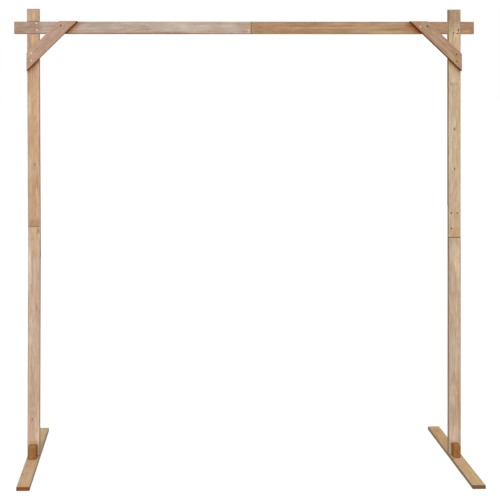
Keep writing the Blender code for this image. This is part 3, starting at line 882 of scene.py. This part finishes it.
# Soft patches on each board, in millimetres: x and z, or x and y on a foot, then the reach along
# and across the board, its colour and its strength.
STAINS = {
    "left_post_upper": (
        (-1096, 2310, 50, 42, (182, 156, 132), 0.7), (-1094, 2307, 20, 11, YELLOW, 0.45),
        (-1101, 2180, 34, 10, YELLOW, 0.5), (-1120, 2150, 70, 15, (164, 144, 122), 0.7),
        (-1076, 1800, 500, 16, PINK, 0.45), (-1106, 1700, 420, 12, YELLOW, 0.2),
        (-1092, 1530, 7, 3.5, DARK, 0.8), (-1078, 1437, 42, 5, RED_BROWN, 0.65),
        (-1096, 1226, 30, 40, BROWN, 0.35), (-1118, 1840, 80, 14, (224, 206, 188), 0.35),
        (-1118, 1530, 80, 14, (224, 206, 188), 0.4),
    ),
    "left_post_lower": (
        (-1096, 1193, 11, 22, CREAM, 0.35), (-1120, 1000, 170, 14, (234, 216, 196), 0.7),
        (-1096, 645, 110, 40, (224, 198, 176), 0.45), (-1083, 1096, 55, 10, (204, 168, 118), 0.8),
        (-1073, 1188, 22, 12, (140, 104, 72), 0.6), (-1109, 902, 12, 8, BROWN, 0.3),
        (-1081, 787, 24, 4, BROWN, 0.6), (-1090, 550, 260, 26, (188, 166, 143), 0.15),
        (-1100, 290, 140, 32, (188, 156, 136), 0.55), (-1076, 195, 90, 12, (216, 188, 166), 0.65),
        (-1101, 266, 12, 10, CREAM, 0.6), (-1092, 120, 50, 36, (214, 180, 152), 0.6),
        (-1078, 123, 30, 12, (232, 204, 182), 0.6), (-1098, 90, 12, 26, ORANGE, 0.3),
    ),
    "right_post_upper": (
        (1096, 2305, 85, 48, (158, 128, 102), 0.75), (1085, 2305, 26, 7, ORANGE, 0.4),
        (1072, 2310, 34, 10, (140, 112, 86), 0.55), (1073, 2245, 36, 10, (148, 112, 88), 0.5),
        (1072, 1680, 260, 10, (218, 198, 174), 0.4), (1105, 2250, 30, 18, (190, 168, 146), 0.5),
        (1088, 1968, 12, 8, CREAM, 0.7), (1100, 1350, 180, 26, PINK, 0.35),
        (1098, 1176, 30, 40, (196, 150, 106), 0.5), (1110, 1373, 80, 16, (214, 196, 172), 0.3),
        (1110, 1254, 30, 18, (180, 150, 118), 0.4), (1110, 2000, 60, 16, (180, 150, 120), 0.3),
        (1112, 2214, 3.5, 13, (120, 66, 44), 0.85), (1116, 2230, 13, 3, (112, 76, 54), 0.7),
    ),
    "right_post_lower": (
        (1096, 1120, 40, 40, GREENISH, 0.4), (1096, 1070, 70, 40, (216, 196, 172), 0.4),
        (1115, 960, 90, 12, (218, 198, 176), 0.45), (1103, 1012, 70, 7, (238, 212, 162), 0.9),
        (1105, 782, 32, 6, CREAM, 0.75), (1110, 568, 170, 18, (208, 186, 172), 0.4),
        (1117, 330, 140, 9, (196, 144, 104), 0.65), (1100, 230, 75, 36, (180, 148, 126), 0.5),
        (1092, 125, 45, 36, (218, 190, 170), 0.6),
    ),
    "beam_left": (
        (-1175, 2243, 60, 48, (166, 134, 112), 0.8), (-1095, 2243, 55, 48, (160, 129, 109), 0.8),
        (-1165, 2220, 34, 10, (158, 118, 92), 0.6), (-930, 2220, 90, 10, (176, 146, 116), 0.4),
        (-470, 2264, 200, 11, (198, 183, 172), 0.45), (-390, 2220, 120, 10, (166, 142, 126), 0.65),
        (-320, 2246, 200, 30, (202, 188, 172), 0.7), (-76, 2243, 70, 40, (194, 180, 170), 0.5),
        (2, 2252, 34, 14, (190, 162, 116), 0.5), (-550, 2214, 600, 5, BROWN, 0.5),
    ),
    "beam_right": (
        (240, 2272, 560, 10, (146, 122, 102), 0.65), (1020, 2213, 46, 4.5, (92, 54, 32), 0.85),
        (75, 2240, 50, 40, (160, 130, 98), 0.6), (200, 2222, 140, 16, (164, 128, 92), 0.6),
        (66, 2222, 34, 12, (144, 110, 80), 0.5), (140, 2264, 100, 12, (178, 148, 124), 0.45),
        (315, 2220, 90, 10, (166, 124, 70), 0.6), (470, 2220, 90, 10, (170, 132, 84), 0.5),
        (630, 2243, 110, 40, (192, 160, 130), 0.45), (770, 2262, 90, 12, (188, 162, 142), 0.55),
        (470, 2264, 100, 10, (196, 158, 128), 0.6), (520, 2244, 360, 7, GREENISH, 0.5),
        (757, 2220, 120, 10, (188, 162, 106), 0.75), (1010, 2240, 75, 40, (170, 138, 114), 0.7),
        (1165, 2250, 50, 40, (160, 126, 100), 0.7), (1160, 2226, 30, 12, (196, 152, 116), 0.8),
    ),
    "left_brace": (
        (-1012, 2176, 30, 14, (172, 138, 128), 0.6), (-1110, 2112, 36, 30, (210, 180, 158), 0.3),
    ),
    "right_brace": (
        (1010, 2180, 40, 12, (170, 136, 116), 0.5), (885, 2258, 45, 30, (176, 126, 94), 0.8),
        (1080, 2095, 75, 30, (184, 150, 112), 0.5),
    ),
    "left_foot": (
        (-1100, 200, 130, 34, GREENISH, 0.5), (-1097, -230, 60, 24, (178, 148, 120), 0.7),
        (-1100, -120, 40, 30, ORANGE, 0.35), (-1100, -298, 18, 26, ORANGE, 0.65),
        (-1119, -262, 36, 12, (164, 148, 128), 0.65), (-1094, -78, 36, 11, (198, 148, 94), 0.65),
        (-1078, 100, 110, 34, (160, 136, 106), 0.55),
    ),
    "right_foot": (
        (1100, 190, 170, 44, (182, 144, 98), 0.75), (1088, 270, 60, 40, (166, 132, 92), 0.6),
        (1100, -50, 50, 34, (222, 180, 158), 0.3), (1072, -57, 14, 5, DARK, 0.35),
    ),
}

# Board, x and z, or x and y on a foot, size, strength.
KNOTS = (
    ("left_post_lower", -1.103, 0.21, 0.0032, 0.8),
    ("right_post_upper", 1.08, 1.95, 0.006, 0.35),
    ("right_post_upper", 1.106, 1.951, 0.0035, 0.45),
    ("right_post_upper", 1.0955, 1.715, 0.0036, 1.1),
    ("right_post_upper", 1.096, 1.509, 0.0036, 1.1),
    ("left_foot", -1.1195, -0.191, 0.005, 0.45),
)

BEAM_JOINT = (0.0354, 2.243)

# Tint of the painted shadow below a brace, on the beam and on a post.
PAINTED_SHADOW_ON_BEAM = (0.97, 0.52, 0.17)
PAINTED_SHADOW_ON_POST = (0.92, 0.70, 0.42)


def mark_boards(boards):
    """Stains, knots, two cracks, a chip and the painted shadow below the braces."""
    for node, stains in STAINS.items():
        for row in stains:
            boards[node].stain(*row)
    for node, *place, size, strength in KNOTS:
        boards[node].knot(place, size, strength)
    post = boards["right_post_upper"]
    post.crack((1.104, 2.2142), (1.121, 2.2138), 0.0012, 0.004)
    post.crack((1.1165, 2.219), (1.1155, 2.241), 0.0010, 0.004)
    foot = boards["right_foot"]
    chip = [Vector((foot.low.x + 0.0005, y, foot.high.z)) for y in (-0.066, -0.049)]
    foot.cut(groove_cutter(*chip, Vector((-0.7, 0, 0.7)), 0.004, 0.002))
    # Painted shadow below each brace, on its beam and on its upper post.
    for side, beam_reach, post_reach, post_strength in (
        ("left", 0.040, 0.036, 0.75), ("right", 0.036, 0.030, 0.8),
    ):
        brace, post = boards[f"{side}_brace"], boards[f"{side}_post_upper"]
        boards[f"beam_{side}"].paint_shadow_below(brace, beam_reach, PAINTED_SHADOW_ON_BEAM, 0.9)
        post.paint_shadow_below(brace, post_reach, PAINTED_SHADOW_ON_POST, post_strength)


def mark_joints(boards):
    """Dark, grimy lines where flush boards meet, each on the boards beside it."""
    dark, brown = srgb(*DARK), srgb(*BROWN)
    for side in ("lower", "upper"):
        boards[f"right_post_{side}"].band((1.096, 1.1505), 0.0045, dark, 0.95)
        boards[f"left_post_{side}"].band((-1.096, 1.2113), 0.0035, brown, 0.6)
    for side in ("left", "right"):
        boards[f"beam_{side}"].band(BEAM_JOINT, 0.0045, dark, 0.85)
        boards[f"beam_{side}"].band(BEAM_JOINT, 0.022, srgb(176, 150, 100), 0.4)
    boards["left_post_upper"].band((-1.096, 2.2765), 0.0030, dark, 0.8)
    boards["left_post_upper"].band((-1.096, 2.2100), 0.0030, brown, 0.6)


def add_edge_darkening_and_shade(boards, colours):
    """Every long edge is a little darker. The stronger bands on the posts, the feet, the left
    block, the braces and the left beam's lower edge are painted shade, deepest where an edge faces
    down or inwards.
    """
    inwards = {"left": RIGHT, "right": -RIGHT}
    for node, board in boards.items():
        # Darker along both long edges of every board.
        darkening = tinted(colours[node], 0.62, 0.55, 0.50)
        across = board.facing.cross(board.along)
        board.rim(across, darkening, 0.5)
        board.rim(-across, darkening, 0.5)
        side = node.split("_")[0]
        # Painted shade along edges that face inwards or down, and along the posts' outer edges.
        if "post" in node:
            board.rim(inwards[side], srgb(*DARK), 0.75, 0.004)
            board.rim(-inwards[side], srgb(158, 142, 122), 0.5, 0.007)
        elif node.endswith("foot"):
            board.rim(inwards[side], srgb(92, 78, 58), 0.35, 0.004)
        elif node == "left_foot_block":
            board.rim(across, srgb(96, 60, 20), 0.5, 0.011)
            board.rim(-across, srgb(96, 60, 20), 0.7, 0.006)
        elif "brace" in node:
            board.rim(-UP, srgb(112, 54, 12), 1.0, 0.003)
    # Painted shade along the left beam's lower edge, left out at the crossing with the left post.
    boards["beam_left"].rim(-UP, srgb(70, 44, 26), 0.95, 0.004, (-1.099, 2.243))


# Colour in 0-255 values, the middle of the tree as growth_rings takes it, ring spacing.
WOODS = {
    "left_post_lower": ((211, 184, 163), (0.004, 0.034, 0.016), 0.0034),
    "left_post_upper": ((201, 170, 141), (-0.006, 0.030, 0.014), 0.0036),
    "right_post_lower": ((204, 182, 161), (0.010, 0.040, 0.012), 0.0032),
    "right_post_upper": ((203, 183, 156), (-0.004, 0.032, 0.018), 0.0035),
    "beam_left": ((186, 168, 157), (0.002, 0.036, 0.020), 0.0038),
    "beam_right": ((177, 141, 110), (0.012, 0.030, 0.010), 0.0036),
    "left_foot": ((181, 157, 126), (0.006, 0.034, 0.022), 0.0035),
    "right_foot": ((188, 162, 124), (-0.008, 0.030, 0.018), 0.0034),
    "left_brace": ((188, 156, 136), (0.008, 0.030, 0.030), 0.0036),
    "right_brace": ((177, 147, 121), (-0.008, 0.032, 0.026), 0.0034),
    "left_foot_block": ((164, 114, 60), (0.004, 0.030, 0.100), 0.003),
    "right_foot_block": ((162, 110, 58), (0.006, 0.034, 0.100), 0.003),
}

MORE_LOOKS = {
    "beam_right": dict(contrast=1.3),
    "left_foot": dict(ends=(srgb(146, 82, 38), srgb(150, 110, 76))),
    "right_foot": dict(ends=(srgb(124, 97, 64), srgb(150, 112, 78))),
    "left_brace": dict(painted_side_shade=0.0),
    "right_brace": dict(painted_side_shade=0.0, figure=1.4),
    # Posts get the strongest shade painted on their side faces; braces and blocks get none.
    **{node: dict(painted_side_shade=0.6) for node in WOODS if "post" in node},
    **{
        node: dict(painted_side_shade=0.0, figure=1.6, ends=(srgb(158, 109, 57),) * 2)
        for node in WOODS if "block" in node
    },
}


def add_woods(boards):
    """Build every board with its own pine."""
    add_edge_darkening_and_shade(boards, {node: srgb(*look[0]) for node, look in WOODS.items()})
    for node, board in boards.items():
        colour, pith, spacing = WOODS[node]
        more = MORE_LOOKS.get(node, {})
        board.build(wood(f"{node}_pine", board, srgb(*colour), pith, spacing, **more))


def build_arch():
    boards = make_boards()
    cut_laps(boards)
    bright = screw_metal("bright_zinc", srgb(255, 236, 212), srgb(244, 236, 226), 0.40, 0.3)
    dull = screw_metal("dull_zinc", srgb(196, 168, 142), srgb(214, 190, 164), 0.6, 0.1)
    dark = screw_metal("dark_bronze", srgb(96, 62, 40), srgb(134, 98, 68), 0.50, 0.4)
    add_screws(boards, bright, dull, dark)
    mark_boards(boards)
    mark_joints(boards)
    add_woods(boards)


SENSOR_WIDTH = 36.0
FOCAL_LENGTH = 53.717
CAMERA_SHIFT = (0.1616, -0.3427)
CAMERA_PLACE = (-0.4232, -3.8892, 1.9785)
CAMERA_TURN = (radians(90), 0, -0.00791)
FLOOR_HALF = 60.0
FLOOR_DROP = 0.0002
FLOOR_GREY = 0.18
FLOOR_GLOW = 0.87
SKY_STOPS = ((0.0, 0.34), (1.0, 0.60), (0.5, 0.62))


def add_camera():
    lens = bpy.data.cameras.new("camera")
    lens.sensor_width = SENSOR_WIDTH
    lens.lens = FOCAL_LENGTH
    lens.shift_x, lens.shift_y = CAMERA_SHIFT
    lens.clip_end = 200.0
    camera = new_object("camera", lens)
    camera.location = CAMERA_PLACE
    camera.rotation_euler = CAMERA_TURN
    bpy.context.scene.camera = camera


def add_lamp(name, place, target, size, power):
    lamp = bpy.data.lights.new(name, "AREA")
    lamp.shape = "SQUARE"
    lamp.size = size
    lamp.energy = power
    shown = new_object(name, lamp)
    shown.location = place
    shown.rotation_euler = (Vector(target) - Vector(place)).to_track_quat("-Z", "Y").to_euler()
    shown.visible_camera = False


def add_world():
    """Soft light from all round, brighter from above, in front of a plain white background."""
    world = bpy.data.worlds.new("studio")
    world.use_nodes = True
    bpy.context.scene.world = world
    tree = world.node_tree
    tree.nodes.clear()
    out, mixed, path, plain, soft, ramp, parts, direction, height = [
        tree.nodes.new(f"ShaderNode{kind}") for kind in (
            "OutputWorld", "MixShader", "LightPath", "Background", "Background",
            "ValToRGB", "SeparateXYZ", "TexCoord", "MapRange",
        )
    ]
    height.inputs["From Min"].default_value = -1.0
    plain.inputs["Color"].default_value = (1, 1, 1, 1)
    elements = ramp.color_ramp.elements
    for element, (place, level) in zip((*elements, elements.new(0.5)), SKY_STOPS):
        element.position = place
        element.color = (level * 1.02, level, level * 0.96, 1)
    for source, socket in (
        (direction.outputs["Generated"], parts.inputs[0]),
        (parts.outputs["Z"], height.inputs["Value"]),
        (height.outputs["Result"], ramp.inputs["Fac"]),
        (ramp.outputs["Color"], soft.inputs["Color"]),
        (path.outputs["Is Camera Ray"], mixed.inputs["Fac"]),
        (soft.outputs[0], mixed.inputs[1]),
        (plain.outputs[0], mixed.inputs[2]),
        (mixed.outputs[0], out.inputs["Surface"]),
    ):
        tree.links.new(source, socket)


def add_floor():
    mesh = bpy.data.meshes.new("floor")
    signs = ((-1, -1), (1, -1), (1, 1), (-1, 1))
    corners = [(x * FLOOR_HALF, y * FLOOR_HALF, 0) for x, y in signs]
    mesh.from_pydata(corners, [], [(0, 1, 2, 3)])
    floor = new_object("floor", mesh)
    floor.location.z = -FLOOR_DROP
    mesh.materials.append(Graph("floor").surface({
        "Base Color": (FLOOR_GREY,) * 3,
        "Roughness": 0.9,
        "Specular IOR Level": 0.0,
        "Emission Color": (1, 1, 1),
        "Emission Strength": FLOOR_GLOW,
    }))
    floor.visible_diffuse = floor.visible_glossy = False


build_arch()
add_camera()
add_world()
add_lamp("key", (-1.2, -8.5, 8.0), (0, 0, 1.3), 6.5, 700.0)
add_lamp("back_fill", (1.5, 5.0, 3.4), (0, 0, 1.2), 3.0, 60.0)
add_floor()
bpy.context.scene.view_settings.view_transform = "Standard"
